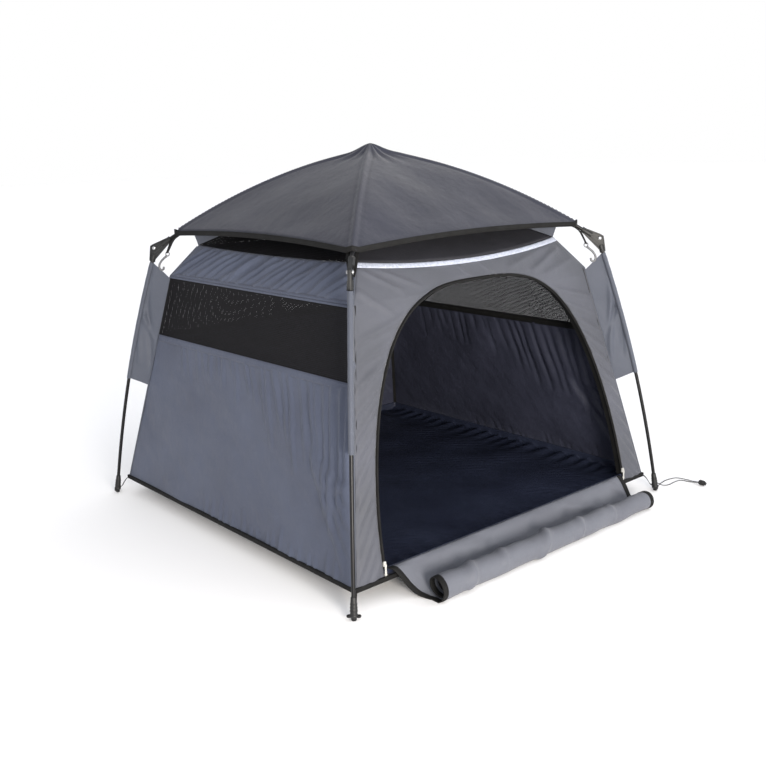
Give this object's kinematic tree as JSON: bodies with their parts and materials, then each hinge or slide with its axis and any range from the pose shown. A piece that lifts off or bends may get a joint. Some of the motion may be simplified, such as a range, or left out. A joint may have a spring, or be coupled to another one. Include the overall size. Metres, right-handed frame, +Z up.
{
  "type": "dog tent",
  "caption": "Small square pop-up tent for a dog: outside folding pole frame with peaked fly, netting windows, dark floor and an arched door rolled down on the ground",
  "frame": {"origin": "on the ground plane at the middle of the bounding box of the tent without its free cord", "axes": "X runs left to right across the doorway side, -Y faces out of the doorway, +Z up"},
  "size_m": [1.2911, 1.2384, 1.0092],
  "materials": {
    "wall_polyester": "woven, matt",
    "fly_polyester": "woven, coated",
    "floor_oxford": "coated Oxford weave",
    "black_netting": "fine netting",
    "black_webbing": "ribbed webbing",
    "silver_reflective_tape": "reflective tape",
    "black_fibreglass": "satin rod",
    "dark_grey_nylon": "moulded",
    "black_cord": "braided cord"
  },
  "bodies": {
    "root": {"base_binding": "black_webbing", "cord_lock": "dark_grey_nylon", "door_flap": "wall_polyester", "door_roll": "wall_polyester", "door_zip": "black_webbing", "floor_tub": "floor_oxford", "fly": "fly_polyester", "fly_binding": "black_webbing", "foot_back_left": "dark_grey_nylon", "foot_back_right": "dark_grey_nylon", "foot_front_left": "dark_grey_nylon", "foot_front_right": "dark_grey_nylon", "front_wall_left": "wall_polyester", "front_wall_right": "wall_polyester", "front_wall_top": "wall_polyester", "guy_cord": "black_cord", "hub": "dark_grey_nylon", "inner_roof": "black_netting", "leg_pole_back_left": "black_fibreglass", "leg_pole_back_right": "black_fibreglass", "leg_pole_front_left": "black_fibreglass", "leg_pole_front_right": "black_fibreglass", "leg_sleeve_back_left": "wall_polyester", "leg_sleeve_back_right": "wall_polyester", "leg_sleeve_front_left": "wall_polyester", "leg_sleeve_front_right": "wall_polyester", "lower_panel_back": "wall_polyester", "lower_panel_left": "wall_polyester", "lower_panel_right": "wall_polyester", "reflective_piping": "silver_reflective_tape", "roof_pole_back_left": "black_fibreglass", "roof_pole_back_right": "black_fibreglass", "roof_pole_front_left": "black_fibreglass", "roof_pole_front_right": "black_fibreglass", "shoulder_back_left": "dark_grey_nylon", "shoulder_back_right": "dark_grey_nylon", "shoulder_front_left": "dark_grey_nylon", "shoulder_front_right": "dark_grey_nylon", "upper_panel_back": "wall_polyester", "upper_panel_left": "wall_polyester", "upper_panel_right": "wall_polyester", "window_netting_back": "black_netting", "window_netting_left": "black_netting", "window_netting_right": "black_netting"}
  },
  "joints": []
}
